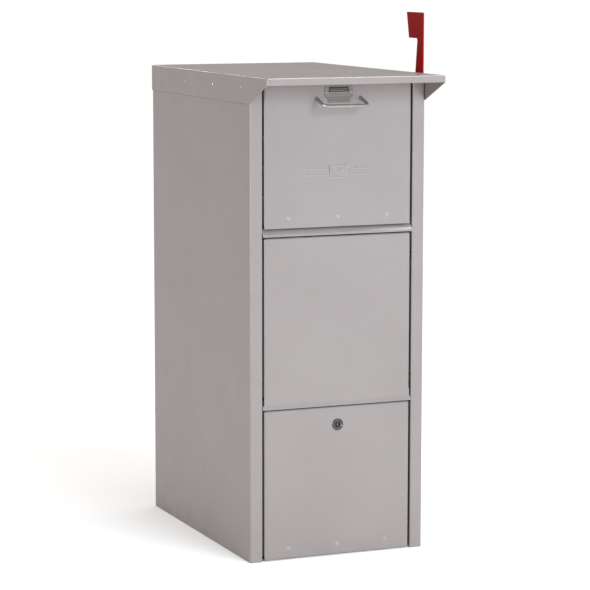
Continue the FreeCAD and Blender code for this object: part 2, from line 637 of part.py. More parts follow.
leg_stop = bar_end - slope * HANDLE_CORNER
bar_start = bar_end - AXIS_X * HANDLE_CORNER
arc_middle = bar_end - slope * bow - AXIS_X * bow
wire = Part.Wire([
    Part.LineSegment(foot - slope * 6, leg_stop).toShape(),
    Part.Arc(leg_stop, arc_middle, bar_start).toShape(),
    Part.LineSegment(bar_start, other(bar_start)).toShape(),
    Part.Arc(other(bar_start), other(arc_middle), other(leg_stop)).toShape(),
    Part.LineSegment(other(leg_stop), other(foot - slope * 6)).toShape(),
])
section = Part.Wire(Part.makeCircle(HANDLE_R, foot - slope * 6, slope))
handle = wire.makePipeShell([section], True, False)
handle = handle.cut(box(-HALF, HALF, FRONT, FRONT + 30, HANDLE_HEIGHT - 30, HANDLE_HEIGHT + 30))
nuts = []
for start in (foot, other(foot)):
    handle = handle.fuse(rod(start - AXIS_Y, AXIS_Y, STUD_R, 10.0))
    top_door = top_door.cut(rod(start - AXIS_Y, AXIS_Y, STUD_R, 10.0))
    nuts.append(hexagon(start + AXIS_Y * DOOR_SHEET, AXIS_Y, 7.0, 3.2, STUD_R))
put("pull_handle", handle)
put("pull_handle_nuts", group(nuts))

# ---- blank badge plate above the handle, with two rivets and a lower tab ----
BADGE_HEIGHT = 944.0
BADGE_W = 62.0
BADGE_H = 24.0
BADGE_RIVET_X = 27.0
TAB_W = 49.0
TAB_DROP = 9.5
badge = box(-BADGE_W / 2, BADGE_W / 2, FRONT - 1.0, FRONT, BADGE_HEIGHT - BADGE_H / 2, BADGE_HEIGHT + BADGE_H / 2)
badge = fillet_where(badge, 6.0, lambda e: e.BoundBox.YLength > 0.9)
badge = badge.cut(box(-21.0, 21.0, FRONT - 2, FRONT - 0.7, BADGE_HEIGHT - 8.0, BADGE_HEIGHT + 8.0))
tab_top = BADGE_HEIGHT - BADGE_H / 2 + 1
badge = badge.fuse(box(-TAB_W / 2, TAB_W / 2, FRONT - 0.6, FRONT, tab_top - TAB_DROP - 1, tab_top))
badge_rivets = []
badge_holes = []
for side in (-1, 1):
    start = Vector(side * BADGE_RIVET_X, FRONT - 1.0, BADGE_HEIGHT)
    badge_rivets.append(rivet(start, AXIS_Y, 2.6, 1.2, 1.0 + DOOR_SHEET, 2.0))
    badge_holes.append(rod(start, AXIS_Y, 1.2, 1.0 + DOOR_SHEET))
put("badge_plate", badge.cut(group(badge_holes)))
put("badge_rivets", group(badge_rivets))
top_door = top_door.cut(group(badge_holes)).cut(top_rivet_holes)

# ---- hat-section stiffener across the inside of the drop door ----
STIFFENER_HEIGHT = 786.0
HAT_FOOT = DOOR_SHEET + SHEET
HAT_CROWN = 11.0
hat_path = [(HAT_FOOT, -28.0), (HAT_FOOT, -16.0), (HAT_CROWN, -12.0), (HAT_CROWN, 12.0), (HAT_FOOT, 16.0)]
hat_path.append((HAT_FOOT, 28.0))
hat_path = [(y, STIFFENER_HEIGHT + z) for y, z in hat_path]
stiffener = folded_across(hat_path, SHEET, -150.0, 150.0)
put("top_door_stiffener", stiffener)

# ---- hopper behind the drop door: two cheeks and a tray that tips as the door shuts ----
CHEEK = SHEET
cheek_outer = DOOR_HALF - DOOR_SHEET
cheek_inner = cheek_outer - CHEEK
ring = rod(Vector(cheek_inner, HINGE_Y, TOP_AXIS), AXIS_X, TRAY_OUTER, CHEEK)
ring = ring.cut(rod(Vector(cheek_inner, HINGE_Y, TOP_AXIS), AXIS_X, CHEEK_CLEAR, CHEEK))
edge_y = FRONT + PAN_BEND + 0.1
tray_turn = math.radians(TRAY_DROP + 2)
far = 1.5 * TRAY_OUTER
wedge = [
    (edge_y, TOP_AXIS),
    (edge_y, TOP_AXIS + far),
    (HINGE_Y + far, TOP_AXIS + far),
    (HINGE_Y + far, TOP_AXIS - far * math.sin(tray_turn)),
    (HINGE_Y + far * math.cos(tray_turn), TOP_AXIS - far * math.sin(tray_turn)),
    (HINGE_Y, TOP_AXIS),
]
cheek = ring.common(plate_side(wedge, cheek_inner, cheek_outer))
stop_y = FRONT + JAMB_RETURN + 0.5
stop_z = TOP_AXIS + TRAY_OUTER - 17.0
stop_tab = box(cheek_inner, JAMB_EDGE + 6.0, stop_y, stop_y + CHEEK, stop_z, stop_z + 14.0)
cheek = cheek.fuse(at_hinge(stop_tab, TOP_AXIS, -TOP_DOOR_SWING))

TRAY_EDGE = 14.0
tray = box(-cheek_inner, cheek_inner, HINGE_Y + TRAY_INNER, HINGE_Y + TRAY_OUTER, TOP_AXIS, TOP_AXIS + CHEEK)
for side in (-1, 1):
    inner = side * (cheek_inner - CHEEK)
    outer = side * cheek_inner
    wall = box(
        min(inner, outer), max(inner, outer), HINGE_Y + TRAY_INNER + 4, HINGE_Y + TRAY_OUTER - 4,
        TOP_AXIS, TOP_AXIS + TRAY_EDGE,
    )
    tray = tray.fuse(wall)
tray = at_hinge(tray.removeSplitter(), TOP_AXIS, -TRAY_DROP)

hopper_rivets = []
hopper_holes = []
for height in (60.0, 120.0, 180.0):
    start = Vector(DOOR_HALF, HINGE_Y + 2.5, TOP_AXIS + height)
    hopper_rivets.append(rivet(start, -AXIS_X, 2.8, 1.6, DOOR_SHEET + CHEEK, 2.4))
    hopper_holes.append(rod(start, -AXIS_X, 1.6, DOOR_SHEET + CHEEK))
for reach in (70.0, 160.0):
    start = Vector(cheek_outer, HINGE_Y + reach, TOP_AXIS + TRAY_EDGE / 2 + 1)
    tray_rivet = rivet(start, -AXIS_X, 2.8, 1.6, 2 * CHEEK, 2.4)
    hopper_rivets.append(at_hinge(tray_rivet, TOP_AXIS, -TRAY_DROP))
    hopper_holes.append(at_hinge(rod(start, -AXIS_X, 1.6, 2 * CHEEK), TOP_AXIS, -TRAY_DROP))
all_hopper_holes = group(hopper_holes + [mirrored(h) for h in hopper_holes])
put("hopper_cheek_right", cheek.cut(all_hopper_holes))
put("hopper_cheek_left", mirrored(cheek).cut(all_hopper_holes))
put("hopper_tray", tray.cut(all_hopper_holes))
put("hopper_rivets", group(hopper_rivets + [mirrored(r) for r in hopper_rivets]))
put("top_door_panel", top_door.cut(all_hopper_holes).removeSplitter())

# ---- cam lock in the bottom door: housing, nut, plug, cam and screw ----
NUT_THICK = 4.0
lock_face = Vector(0, FRONT, LOCK_HEIGHT)
HEAD_THICK = 2.6
PLUG_PROUD = 2.2              # the plug's face in front of the door
head = rod(lock_face - AXIS_Y * HEAD_THICK, AXIS_Y, LOCK_HEAD_R, HEAD_THICK)
head = fillet_where(head, 1.4, lambda e: e.BoundBox.YMax < FRONT - HEAD_THICK + 0.1)
housing = head.fuse(rod(lock_face, AXIS_Y, LOCK_BARREL_R, LOCK_BARREL_END))
plug_bore = rod(lock_face - AXIS_Y * 5, AXIS_Y, LOCK_PLUG_R + RUNNING_GAP, 40.0)
put("lock_housing", housing.cut(plug_bore).removeSplitter())
nut = hexagon(lock_face + AXIS_Y * DOOR_SHEET, AXIS_Y, 25.0, NUT_THICK, LOCK_BARREL_R)
put("lock_nut", nut)

cam_y = LOCK_BARREL_END + 0.7
plug = rod(lock_face - AXIS_Y * PLUG_PROUD, AXIS_Y, LOCK_PLUG_R, cam_y + PLUG_PROUD)
keyway = box(-0.9, 0.9, FRONT - 3, FRONT + 5, LOCK_HEIGHT - 3.6, LOCK_HEIGHT + 3.6)
square = box(-2.5, 2.5, FRONT + cam_y, FRONT + cam_y + CAM_SHEET, LOCK_HEIGHT - 2.5, LOCK_HEIGHT + 2.5)
screw_hole = rod(lock_face + AXIS_Y * 12.0, AXIS_Y, 1.5, 20.0)
put("lock_plug", plug.cut(keyway).fuse(square).cut(screw_hole).removeSplitter())

CAM_W = 14.0
cam = rod(lock_face + AXIS_Y * cam_y, AXIS_Y, CAM_W / 2, CAM_SHEET)
cam_blade = box(
    0, CAM_REACH, FRONT + cam_y, FRONT + cam_y + CAM_SHEET, LOCK_HEIGHT - CAM_W / 2, LOCK_HEIGHT + CAM_W / 2,
)
cam_blade = fillet_where(cam_blade, 3.0, lambda e: e.BoundBox.YLength > 1 and e.BoundBox.XMin > 1)
put("lock_cam", cam.fuse(cam_blade).cut(square).removeSplitter())
cam_screw = rod(lock_face + AXIS_Y * 12.0, AXIS_Y, 1.5, cam_y + CAM_SHEET - 12.0)
screw_head = rod(lock_face + AXIS_Y * (cam_y + CAM_SHEET), AXIS_Y, 4.2, 2.4)
screw_head = fillet_where(screw_head, 1.2, lambda e: e.BoundBox.YMin > FRONT + cam_y + CAM_SHEET + 2.3)
put("lock_cam_screw", cam_screw.fuse(screw_head))

# ---- bottom door and its liner ----
bottom_door = bottom_door.cut(rod(lock_face - AXIS_Y, AXIS_Y, LOCK_BARREL_R, 5.0))
put("bottom_door_panel", bottom_door.cut(bottom_rivet_holes))
liner_y = FRONT + PAN_DEPTH - SHEET
liner = box(-DOOR_HALF, DOOR_HALF, liner_y, liner_y + SHEET, BOTTOM_AXIS + 9.5, BOTTOM_DOOR_TOP)
liner = fillet_where(liner, 3.0, lambda e: e.BoundBox.YLength > 1)
put("bottom_door_liner", liner.cut(rod(lock_face, AXIS_Y, LOCK_BARREL_R + 1.5, 30.0)))

# ---- write one STEP file per part ----
os.makedirs("parts", exist_ok=True)
for name, shape in parts.items():
    shape.exportStep("parts/" + name + ".step")
print(len(parts), "parts written")
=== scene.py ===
import math
import bpy
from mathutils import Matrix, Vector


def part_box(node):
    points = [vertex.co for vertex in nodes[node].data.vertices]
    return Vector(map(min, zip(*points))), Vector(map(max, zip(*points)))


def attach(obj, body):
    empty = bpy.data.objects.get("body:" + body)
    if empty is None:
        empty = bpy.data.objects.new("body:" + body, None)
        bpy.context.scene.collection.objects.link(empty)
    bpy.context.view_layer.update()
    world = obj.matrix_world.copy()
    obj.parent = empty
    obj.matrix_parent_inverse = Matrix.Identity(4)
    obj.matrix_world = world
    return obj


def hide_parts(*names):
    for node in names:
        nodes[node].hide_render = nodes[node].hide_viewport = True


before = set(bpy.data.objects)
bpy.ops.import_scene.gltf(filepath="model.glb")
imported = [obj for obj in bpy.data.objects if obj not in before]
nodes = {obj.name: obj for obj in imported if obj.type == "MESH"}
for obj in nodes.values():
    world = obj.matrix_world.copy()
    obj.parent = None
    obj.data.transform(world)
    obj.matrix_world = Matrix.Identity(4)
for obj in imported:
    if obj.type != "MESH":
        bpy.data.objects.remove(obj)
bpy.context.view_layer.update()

mm = 0.001


# ---- Side panels ----
# Each side of the cabinet is one steel sheet. It is folded round the front
# corner into a narrow jamb with a short return, and at the back into a
# flange. It has the light grey satin powder coat of the whole cabinet.

class Reading:
    """A value read over a surface. Arithmetic on it adds Math nodes."""

    def __init__(self, tree, socket):
        self.tree = tree
        self.socket = socket

    def node(self, kind, settings=None, inputs=None, output=0):
        made = self.tree.nodes.new(kind)
        for name, value in (settings or {}).items():
            setattr(made, name, value)
        for name, value in (inputs or {}).items():
            if isinstance(value, Reading):
                self.tree.links.new(value.socket, made.inputs[name])
            else:
                made.inputs[name].default_value = value
        return Reading(self.tree, made.outputs[output] if made.outputs else None)

    def sum(self, operation, *terms):
        return self.node("ShaderNodeMath", {"operation": operation}, dict(enumerate(terms)))

    def __add__(self, other):
        return self.sum("ADD", self, other)

    def __sub__(self, other):
        return self.sum("SUBTRACT", self, other)

    def __rsub__(self, other):
        return self.sum("SUBTRACT", other, self)

    def __mul__(self, other):
        return self.sum("MULTIPLY", self, other)

    __radd__ = __add__
    __rmul__ = __mul__

    def step(self, low, high):
        """0 below low, 1 above high, smooth between."""
        return self.node("ShaderNodeMapRange", {"interpolation_type": "SMOOTHSTEP"},
                         {"Value": self, "From Min": low, "From Max": high})

    def noise(self, scale, detail=2.0, roughness=0.5):
        return self.node("ShaderNodeTexNoise", None,
                         {"Vector": self, "Scale": scale, "Detail": detail, "Roughness": roughness})

    def drawn(self, x, y, z):
        """The same place, stretched, for marks that run one way."""
        return self.node("ShaderNodeMapping", None, {"Vector": self, "Scale": (x, y, z)})

    def part(self, axis):
        return self.node("ShaderNodeSeparateXYZ", None, {"Vector": self}, axis)

    def crease_shade(self, reach):
        """Where shade is painted: 1 deep in gaps and corners narrower than reach, 0 in the open."""
        open_air = self.node("ShaderNodeAmbientOcclusion", {"samples": 8}, {"Distance": reach}, "AO")
        return (1.0 - open_air).step(0.16, 0.85)

    def edge_mask(self, reach, low=0.02, high=0.22):
        """1 on edges and folds sharper than reach, 0 on flats; paler edges made with it are wear on some
        finishes and a painted highlight on others.
        """
        soft = self.node("ShaderNodeBevel", {"samples": 6}, {"Radius": reach})
        flat = self.node("ShaderNodeNewGeometry", None, None, "Normal")
        along = self.node("ShaderNodeVectorMath", {"operation": "DOT_PRODUCT"}, {0: soft, 1: flat}, "Value")
        return (1.0 - along).step(low, high)


def mixed(factor, first, second):
    """One colour over another, by factor."""
    reading = next(v for v in (factor, first, second) if isinstance(v, Reading))
    return reading.node("ShaderNodeMix", {"data_type": "RGBA"}, {"Factor": factor, 6: first, 7: second}, 2)


def open_finish(name):
    """A new empty material, and the object's own coordinates in it."""
    material = bpy.data.materials.new(name)
    material.use_nodes = True
    material.node_tree.nodes.clear()
    start = Reading(material.node_tree, None)
    return material, start.node("ShaderNodeTexCoord", None, None, "Object")


def close_finish(place, constants, colour, roughness, height, relief):
    """Puts the shader on the material."""
    bump = place.node("ShaderNodeBump", None, {"Height": height, "Distance": relief})
    inputs = dict(constants)
    inputs.update({"Base Color": colour, "Roughness": roughness, "Normal": bump})
    surface = place.node("ShaderNodeBsdfPrincipled", None, inputs)
    place.node("ShaderNodeOutputMaterial", None, {"Surface": surface})


def grey_powder_coat(name, seam=None):
    """Satin light grey coat: orange peel, faint clouds, folds and edges paler partly from a thinly rubbed
    coat and partly as a painted highlight, a little dust low down, painted shade in gaps and corners, and on
    the sides a thin painted shadow line under the roof's edge, at the height of the seam."""
    material, place = open_finish(name)
    cloud = place.noise(5.0, 3.0)
    smear = place.noise(34.0, 4.0, 0.6)
    peel = place.noise(560.0, 2.0, 0.45)
    speck = place.noise(2300.0, 1.0)
    edge = place.edge_mask(1.2 * mm)
    gap_shade = place.crease_shade(7.0 * mm)
    dust = (1.0 - place.part("Z").step(0.0, 0.06)) * smear.step(0.35, 0.75)
    colour = mixed(cloud.step(0.3, 0.7), (0.272, 0.239, 0.233, 1), (0.290, 0.256, 0.249, 1))
    colour = mixed(speck.step(0.35, 0.8) * 0.10, colour, (0.42, 0.40, 0.39, 1))
    # Paler edges: partly a thinly rubbed coat, partly a painted highlight along the folds.
    colour = mixed(edge * 0.75, colour, (0.72, 0.70, 0.69, 1))
    colour = mixed(dust * 0.25, colour, (0.23, 0.20, 0.18, 1))
    # Painted shade: gaps and corners narrower than 7 mm are darkened toward this colour.
    painted_shade = (0.10, 0.085, 0.08, 1)
    colour = mixed(gap_shade * 0.55, colour, painted_shade)
    # Painted shadow: a thin dark line just under the roof flange's lower edge, on the side sheets' outer
    # faces only.
    if seam:
        height = place.part("Z")
        outward = place.part("X")
        line = height.step(seam - 2.2 * mm, seam - 0.8 * mm) * (1.0 - height.step(seam, seam + 0.2 * mm))
        outer_face = outward.sum("ABSOLUTE", outward).step(half - 0.6 * mm, half - 0.3 * mm)
        colour = mixed(line * outer_face * 0.5, colour, painted_shade)
    roughness = 0.35 + 0.05 * cloud + 0.05 * smear.step(0.4, 0.8) + 0.08 * dust - 0.04 * edge
    close_finish(place, {"Metallic": 0.12 + 0.60 * edge}, colour, roughness, peel + 6.0 * cloud, 0.00005)
    return material


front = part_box("right_side_panel")[0].y
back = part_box("right_side_panel")[1].y
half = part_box("right_side_panel")[1].x
grey = grey_powder_coat("grey_powder_coat")
# The sides' coat also carries the painted shadow line under the roof's edge.
side_grey = grey_powder_coat("grey_powder_coat_side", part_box("roof_hood")[0].z)
near = 0.01 * mm


def pick(kind, chosen):
    """Edit mode, with just the faces, edges or corners chosen by their place and direction."""
    mesh = bpy.context.active_object.data
    bpy.ops.object.mode_set(mode="EDIT")
    bpy.ops.mesh.select_mode(type=kind)
    bpy.ops.mesh.select_all(action="DESELECT")
    bpy.ops.object.mode_set(mode="OBJECT")
    if kind == "FACE":
        for face in mesh.polygons:
            face.select = chosen(face.center, face.normal)
    elif kind == "VERT":
        for corner in mesh.vertices:
            corner.select = chosen(corner.co, corner.normal)
    else:
        for edge in mesh.edges:
            first, last = (mesh.vertices[i].co for i in edge.vertices)
            edge.select = chosen((first + last) / 2, last - first)
    bpy.ops.object.mode_set(mode="EDIT")


def named(name):
    """Names the primitive just added, and puts its place into its mesh."""
    piece = bpy.context.active_object
    piece.name = name
    bpy.ops.object.transform_apply(location=True, rotation=True, scale=True)
    return piece


def apply_all(piece):
    """Applies all the modifiers of the piece, which has to be the active one."""
    bpy.ops.object.mode_set(mode="OBJECT")
    for modifier in list(piece.modifiers):
        bpy.ops.object.modifier_apply(modifier=modifier.name)


def thicken(piece, thickness, side):
    """Gives a shaped sheet its thickness; side 1 is along its normals, -1 against them."""
    bpy.ops.object.mode_set(mode="OBJECT")
    wall = piece.modifiers.new("wall", "SOLIDIFY")
    wall.thickness = thickness
    wall.offset = side
    wall.use_even_offset = True
    apply_all(piece)


def soften(piece, edge, angle=40.0):
    """Breaks the sharp edges and smooths the folds."""
    bpy.ops.object.mode_set(mode="OBJECT")
    broken = piece.modifiers.new("edges", "BEVEL")
    broken.width = edge
    broken.segments = 2
    broken.limit_method = "ANGLE"
    broken.angle_limit = math.radians(angle)
    apply_all(piece)
    bpy.ops.object.shade_smooth_by_angle(angle=math.radians(50.0))
    piece.modifiers.new("even", "WEIGHTED_NORMAL").keep_sharp = True
    apply_all(piece)


def fit(piece, material, body, slot, *stands_for):
    """Finishes the piece and hands it to the frame."""
    piece.data.materials.clear()
    piece.data.materials.append(material)
    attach(piece, body)
    if stands_for:
        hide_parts(*stands_for)
    bpy.ops.object.select_all(action="DESELECT")


def sheet_strip(name, upright, line, run, thickness, folds):
    """A sheet folded along straight lines. Its line is in plan for an upright one, or else
    in side view as (y, z). Run is its two ends, folds the inner radius at each bend, and
    the thickness lies left of the line."""
    bpy.ops.object.select_all(action="DESELECT")
    bpy.ops.mesh.primitive_plane_add(size=1, rotation=(0, -math.pi / 2 if upright else 0, 0))
    piece = named(name)
    along = 2 if upright else 0

    def spot(point):
        middle = (run[0] + run[1]) / 2
        return [point[0], point[1], middle] if upright else [middle, point[0], point[1]]

    length = [1.0, 1.0, 1.0]
    length[along] = run[1] - run[0]
    for place, point in ((-0.5, line[0]), (0.5, line[1])):
        pick("EDGE", lambda m, d: abs(m.y - place) < 1e-4 and abs(d.y) < 1e-4 and abs(m[along]) < 0.1)
        target = spot(point)
        target[1] -= place
        bpy.ops.transform.resize(value=length)
        bpy.ops.transform.translate(value=target)
    for before, after in zip(line[1:], line[2:]):
        here = spot(before)
        pick("EDGE", lambda m, d: sum(abs(a - b) for a, b in zip(m, here)) < near)
        step = [b - a for a, b in zip(here, spot(after))]
        bpy.ops.mesh.extrude_region_move(TRANSFORM_OT_translate={"value": step})
    for i in range(1, len(line) - 1):
        (ax, ay), (bx, by), (cx, cy) = line[i - 1:i + 2]
        turn = math.atan2(cy - by, cx - bx) - math.atan2(by - ay, bx - ax)
        turn = (turn + math.pi) % (2 * math.pi) - math.pi
        radius = folds[i - 1] + (thickness if turn > 0 else 0.0)
        here = spot(line[i])
        pick("EDGE", lambda m, d: sum(abs(a - b) for a, b in zip(m, here)) < near)
        bpy.ops.mesh.bevel(offset=radius * math.tan(abs(turn) / 2), segments=6, affect="EDGES")
    thicken(piece, thickness, 1)
    return piece


sheet = 1.6 * mm
jamb = 164.0 * mm
jamb_return = 14.5 * mm
back_flange = 15.0 * mm
side_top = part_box("right_side_panel")[1].z
sheet_edge = 0.3 * mm
side_line = [(jamb, front + jamb_return), (jamb, front), (half, front), (half, back),
             (half - back_flange, back)]
side_folds = [0.5 * mm, 2.0 * mm, 2.0 * mm]
right_side = sheet_strip("right_side_sheet", True, side_line, (0.0, side_top), sheet, side_folds)
soften(right_side, sheet_edge)
fit(right_side, side_grey, "cabinet", "silver_coat", "right_side_panel")
side_line = [(-x, y) for x, y in reversed(side_line)]
left_side = sheet_strip("left_side_sheet", True, side_line, (0.0, side_top), sheet, side_folds[::-1])
soften(left_side, sheet_edge)
fit(left_side, side_grey, "cabinet", "silver_coat", "left_side_panel")


# ---- Back, floor and cross members ----
# Plain steel sheets between the two sides: the back sheet, the floor tray
# with its anchor holes, the threshold, the strike bar, the header, the sloping
# baffle and the front rail that the drop door hangs on. All spot welded.

def smoothed(name, node, edge):
    """A piece with a CAD node's own shape, its edges broken and its curves smoothed."""
    bpy.ops.object.select_all(action="DESELECT")
    piece = bpy.data.objects.new(name, nodes[node].data.copy())
    bpy.context.scene.collection.objects.link(piece)
    bpy.context.view_layer.objects.active = piece
    piece.select_set(True)
    bpy.ops.object.mode_set(mode="EDIT")
    bpy.ops.mesh.select_all(action="SELECT")
    bpy.ops.mesh.remove_doubles(threshold=0.000002)
    bpy.ops.mesh.dissolve_limited(angle_limit=math.radians(0.5))
    bpy.ops.object.mode_set(mode="OBJECT")
    soften(piece, edge, 30.0)
    return piece


for node in ("back_panel", "floor_panel", "door_threshold", "strike_bar", "header_channel", "rear_baffle"):
    fit(smoothed(node + "_sheet", node, sheet_edge), grey, "cabinet", "silver_coat", node)

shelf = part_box("hinge_rail")[1].z
rail_line = [(34.0, -12.0), (34.0, 0.0), (10.5, 0.0), (-3.5, -12.5), (-3.5, -16.0)]
rail_line = [(front + y * mm, shelf + z * mm) for y, z in rail_line]
rail_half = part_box("hinge_rail")[1].x
rail = sheet_strip("hinge_rail_sheet", False, rail_line, (-rail_half, rail_half), sheet, [2.0 * mm] * 3)
soften(rail, sheet_edge)
fit(rail, grey, "cabinet", "silver_coat", "hinge_rail")


# ---- Middle panel ----
# A fixed steel pan, screwed to the jamb returns through spacers. Its lower
# edge flares forward into a drip lip that covers the top of the bottom door.

door_half = 160.0 * mm
door_sheet = 2.0 * mm
door_edge = 0.35 * mm
door_depth = 13.2 * mm
pan_fold = 3.6 * mm


def pan(name, low, high, depth, lip=None):
    """A shallow pan with its face at the front, open at the back and along its lower edge."""
    bpy.ops.object.select_all(action="DESELECT")
    bpy.ops.mesh.primitive_cube_add(size=1, location=(0, front + depth / 2, (low + high) / 2),
                                    scale=(2 * door_half, depth, high - low))
    piece = named(name)
    pick("FACE", lambda m, n: n.y > 0.9 or n.z < -0.9)
    bpy.ops.mesh.delete(type="FACE")
    if lip:
        lip(low)
    pick("EDGE", lambda m, d: (m.y < front + near and m.z > low + near)
         or (m.z > high - near and abs(d.y) > 1e-3))
    bpy.ops.mesh.bevel(offset=pan_fold, segments=6, affect="EDGES")
    return piece


lip_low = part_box("middle_panel")[0].z
lip_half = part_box("middle_panel")[1].x
lip_fold = lip_low + 9.0 * mm
lip_root = lip_low + 26.0 * mm
lip_bend = 1.8 * mm
lip_start = (0, -0.73 * mm, -3.0 * mm)
lip_rest = (0, -1.47 * mm, -6.0 * mm)
middle_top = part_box("middle_panel")[1].z


def drip_lip(root):
    """Carries the face on below the side flanges, then forward and a little wider."""
    pick("EDGE", lambda m, d: m.y < front + near and m.z < root + near and abs(d.x) > 0.1)
    bpy.ops.mesh.extrude_region_move(TRANSFORM_OT_translate={"value": (0, 0, lip_fold - root)})
    bpy.ops.mesh.extrude_region_move(TRANSFORM_OT_translate={"value": lip_start})
    bpy.ops.transform.resize(value=(lip_half / door_half, 1, 1))
    bpy.ops.mesh.extrude_region_move(TRANSFORM_OT_translate={"value": lip_rest})


middle = pan("middle_panel_pan", lip_root, middle_top, door_depth, drip_lip)
pick("EDGE", lambda m, d: abs(m.z - lip_fold) < near and abs(d.x) > 0.1)
bpy.ops.mesh.bevel(offset=lip_bend, segments=5, affect="EDGES")
thicken(middle, door_sheet, -1)
soften(middle, door_edge)
fit(middle, grey, "cabinet", "silver_coat", "middle_panel")


# ---- Drop door ----
# A steel pan with its folded edges to the back, hung on a continuous hinge
# along its lower edge. An envelope between two pairs of bars is pressed out
# of its face, and a hat section stiffens it inside.

door_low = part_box("top_door_panel")[0].z
door_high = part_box("top_door_panel")[1].z


def clear_hinge(low):
    """Cuts the side flanges off above the hinge, so that the door can swing."""
    knuckle_top = low + 7.6 * mm
    pick("FACE", lambda m, n: abs(n.x) > 0.9)
    bpy.ops.mesh.bisect(plane_co=(0, 0, knuckle_top), plane_no=(0, 0, 1))
    pick("FACE", lambda m, n: abs(n.x) > 0.9 and m.z < knuckle_top)
    bpy.ops.mesh.delete(type="FACE")


top_door = pan("drop_door_pan", door_low, door_high, door_depth)
clear_hinge(door_low)
thicken(top_door, door_sheet, -1)
soften(top_door, door_edge)


def sign_bar(x0, z0, x1, z1):
    """One straight stroke of the sign, half sunk into the door's face."""
    width = 3.4 * mm
    depth = 1.4 * mm
    middle = ((x0 + x1) / 2, front - 0.2 * mm, sign_height + (z0 + z1) / 2)
    bpy.ops.object.select_all(action="DESELECT")
    bpy.ops.mesh.primitive_cube_add(size=1, location=middle,
                                    rotation=(0, -math.atan2(z1 - z0, x1 - x0), 0),
                                    scale=(math.hypot(x1 - x0, z1 - z0) + width, depth, width))
    return named("sign_bar")


def joined_by(operation, piece, tool):
    """Adds the tool's shape to the piece, or cuts it away."""
    bpy.ops.object.select_all(action="DESELECT")
    piece.select_set(True)
    bpy.context.view_layer.objects.active = piece
    change = piece.modifiers.new("change", "BOOLEAN")
    change.object = tool
    change.operation = operation
    apply_all(piece)
    bpy.data.objects.remove(tool)


def pressed(strokes):
    """Joins strokes into one raised shape with sloping, rounded sides."""
    shape = strokes[0]
    bpy.ops.object.select_all(action="DESELECT")
    shape.select_set(True)
    bpy.context.view_layer.objects.active = shape
    for stroke in strokes[1:]:
        joined_by("UNION", shape, stroke)
    bpy.ops.object.mode_set(mode="EDIT")
    bpy.ops.mesh.select_all(action="SELECT")
    bpy.ops.mesh.dissolve_limited(angle_limit=math.radians(1.0))
    pick("FACE", lambda m, n: n.y < -0.9)
    bpy.ops.mesh.region_to_loop()
    bpy.ops.mesh.bevel(offset=0.85 * mm, segments=3, affect="EDGES")
    bpy.ops.object.mode_set(mode="OBJECT")
    bpy.ops.object.shade_smooth_by_angle(angle=math.radians(60.0))
    shape.modifiers.new("even", "WEIGHTED_NORMAL").keep_sharp = True
    apply_all(shape)
    return shape


sign_height = 786.0 * mm
wide, tall, flap = 19.5 * mm, 11.5 * mm, -1.5 * mm
envelope = [
    sign_bar(-wide, -tall, wide, -tall),
    sign_bar(wide, -tall, wide, tall),
    sign_bar(-wide, tall, wide, tall),
    sign_bar(-wide, -tall, -wide, tall),
    sign_bar(-wide, tall, 0, flap),
    sign_bar(0, flap, wide, tall),
]
sign = [pressed(envelope)]
bar_near, bar_far, bar_rise = 32.5 * mm, 71.5 * mm, 6.0 * mm
for side in (-1, 1):
    for rise in (-bar_rise, bar_rise):
        sign.append(pressed([sign_bar(side * bar_near, rise, side * bar_far, rise)]))
bpy.ops.object.select_all(action="DESELECT")
for bar in sign + [top_door]:
    bar.select_set(True)
bpy.context.view_layer.objects.active = top_door
bpy.ops.object.join()
fit(top_door, grey, "drop_door", "silver_coat", "top_door_panel")
for node in ("top_door_stiffener", "hopper_cheek_left", "hopper_cheek_right", "hopper_tray"):
    fit(smoothed(node + "_sheet", node, sheet_edge), grey, "drop_door", "silver_coat", node)


# ---- Collection door ----
# The locking bottom door: a pan like the drop door's with a flat liner spot
# welded inside it, hung on the same kind of hinge close above the ground.

low_door_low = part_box("bottom_door_panel")[0].z
low_door_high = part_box("bottom_door_panel")[1].z
bottom_door = pan("collection_door_pan", low_door_low, low_door_high, door_depth - sheet)
clear_hinge(low_door_low)
thicken(bottom_door, door_sheet, -1)
soften(bottom_door, door_edge)
fit(bottom_door, grey, "collection_door", "silver_coat", "bottom_door_panel")
liner = smoothed("bottom_door_liner_sheet", "bottom_door_liner", sheet_edge)
fit(liner, grey, "collection_door", "silver_coat", "bottom_door_liner")


# ---- Hinges, nuts and screws ----
# Zinc plated steel hardware: two continuous hinges with their pins, the
# handle's nuts, the middle panel's screws, the lock's nut, cam and cam screw,
# and the flag's bolt, washer, nut and stop pin.

def zinc_plate():
    """Blue-white zinc: faint cloudy passivation, fine rolled lines, brighter edges."""
    material, place = open_finish("zinc_plate")
    cloud = place.noise(55.0, 4.0, 0.6)
    lines = place.drawn(0.05, 1.0, 1.0).noise(1800.0, 2.0)
    edge = place.edge_mask(0.5 * mm)
    colour = mixed(cloud.step(0.35, 0.7), (0.46, 0.47, 0.49, 1), (0.58, 0.57, 0.53, 1))
    colour = mixed(edge * 0.5, colour, (0.76, 0.76, 0.77, 1))
    close_finish(place, {"Metallic": 1.0}, colour, 0.30 + 0.16 * cloud - 0.06 * edge, lines, 0.00002)
    return material


zinc = zinc_plate()
for body, members in (
    ("cabinet", ("top_hinge_frame_leaf", "top_hinge_pin", "bottom_hinge_frame_leaf", "bottom_hinge_pin",
                 "middle_panel_screws", "flag_pivot_bolt", "flag_washer", "flag_nut", "flag_stop_pin")),
    ("drop_door", ("top_hinge_door_leaf", "pull_handle_nuts")),
    ("collection_door", ("bottom_hinge_door_leaf", "lock_nut")),
    ("lock_core", ("lock_cam", "lock_cam_screw")),
):
    for node in members:
        fit(smoothed(node + "_zinc", node, 0.15 * mm), zinc, body, "zinc_plated_steel", node)


# ---- Rivets ----
# Aluminium pop rivets with low domed heads. The pulled pin leaves a small
# dimple in the middle of each head. Those in the roof are under its coat, and
# the flag's spacer is the same metal.

